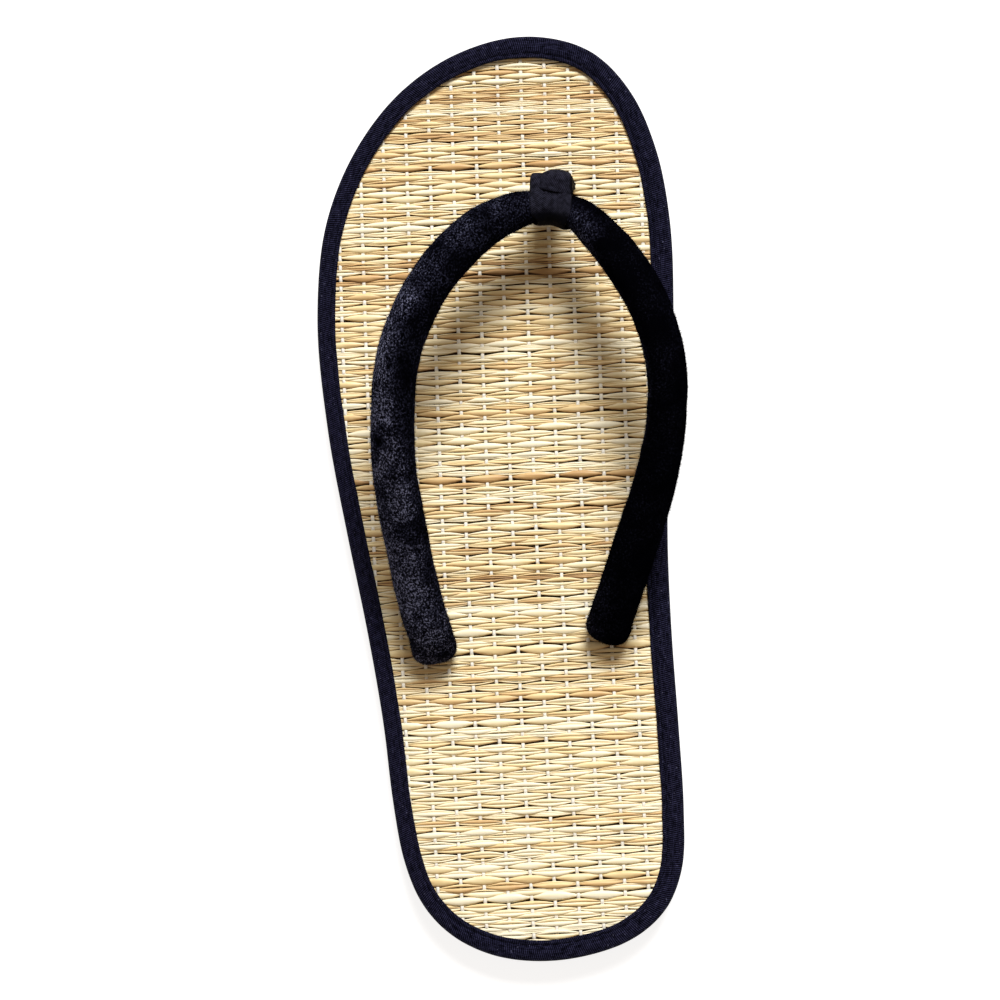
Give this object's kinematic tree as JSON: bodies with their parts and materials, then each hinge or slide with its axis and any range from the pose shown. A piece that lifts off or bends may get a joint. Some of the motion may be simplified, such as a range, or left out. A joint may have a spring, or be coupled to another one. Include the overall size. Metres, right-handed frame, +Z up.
{
  "type": "zori sandal",
  "caption": "Left zori sandal with a woven rush footbed, cotton tape binding, foam rubber outsole and a padded velvet thong strap held by a cotton toe post.",
  "frame": {"origin": "on the floor, under the middle of the sandal's length and breadth", "axes": "+Y from heel to toe, +X to the big toe side, +Z up"},
  "size_m": [0.1092, 0.27, 0.049],
  "materials": {
    "foam_rubber": "matte foam rubber",
    "woven_rush": "woven dry rush, satin stems",
    "cotton_tape": "matte ribbed cotton tape",
    "velvet": "crushed velvet",
    "cotton_twill": "matte cotton twill"
  },
  "bodies": {
    "root": {"outsole": "foam_rubber", "footbed": "woven_rush", "binding": "cotton_tape", "strap": "velvet", "toe_loop": "cotton_twill", "toe_post": "cotton_twill"}
  },
  "joints": []
}
